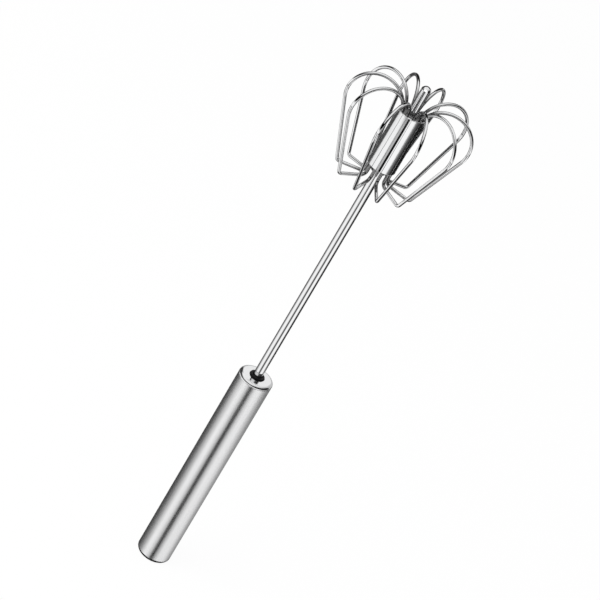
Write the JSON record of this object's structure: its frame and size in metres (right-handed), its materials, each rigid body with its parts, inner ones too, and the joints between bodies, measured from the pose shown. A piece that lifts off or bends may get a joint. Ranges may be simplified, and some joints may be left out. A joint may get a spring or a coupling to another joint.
{
  "type": "push-down hand whisk",
  "caption": "Push-down hand whisk: a slim shaft slides and spins in a brushed steel handle and carries a head of bent wire loops around a polished ferrule.",
  "frame": {"origin": "centre of the handle's flat butt face", "axes": "+Z along the axis from the butt to the whisk's tip; +X through the first wire loop"},
  "size_m": [0.0668, 0.0638, 0.306],
  "materials": {
    "brushed_steel": "fine lengthwise brushed stainless steel",
    "polished_steel": "mirror polished stainless steel",
    "wire_steel": "bright drawn stainless wire",
    "spring_steel": "bright spring steel",
    "black_plastic": "black moulded plastic",
    "pale_nylon": "natural nylon"
  },
  "bodies": {
    "handle": {"handle_tube": "brushed_steel", "mouth_cap": "polished_steel", "guide_bushing": "black_plastic", "anchor_plug": "pale_nylon", "anchor_pin": "spring_steel", "twist_strip": "spring_steel", "return_spring": "spring_steel"},
    "seat": {"spring_seat": "pale_nylon"},
    "whisk": {"drive_nut": "pale_nylon", "shaft_tube": "polished_steel", "tip_plug": "polished_steel", "ferrule_sleeve": "polished_steel", "lower_collar": "black_plastic", "upper_collar": "black_plastic", "whisk_wire_01": "wire_steel", "whisk_wire_02": "wire_steel", "whisk_wire_03": "wire_steel", "whisk_wire_04": "wire_steel", "whisk_wire_05": "wire_steel", "whisk_wire_06": "wire_steel", "whisk_wire_07": "wire_steel", "whisk_wire_08": "wire_steel", "whisk_wire_09": "wire_steel", "whisk_wire_10": "wire_steel"}
  },
  "joints": [
    {"name": "plunge", "type": "slide", "parent": "handle", "child": "seat", "axis": [0, 0, -1], "range_m": [0, 0.058], "stiffness_N_per_m": 120, "springref_m": -0.035, "deforming": ["return_spring"]},
    {"name": "spin", "type": "hinge", "parent": "seat", "child": "whisk", "pos_m": [0, 0, 0.1], "axis": [0, 0, -1], "range_deg": [0, 871]}
  ],
  "couplings": [
    {"joint": "spin", "follows": "plunge", "rad_per_m": 261.8}
  ]
}
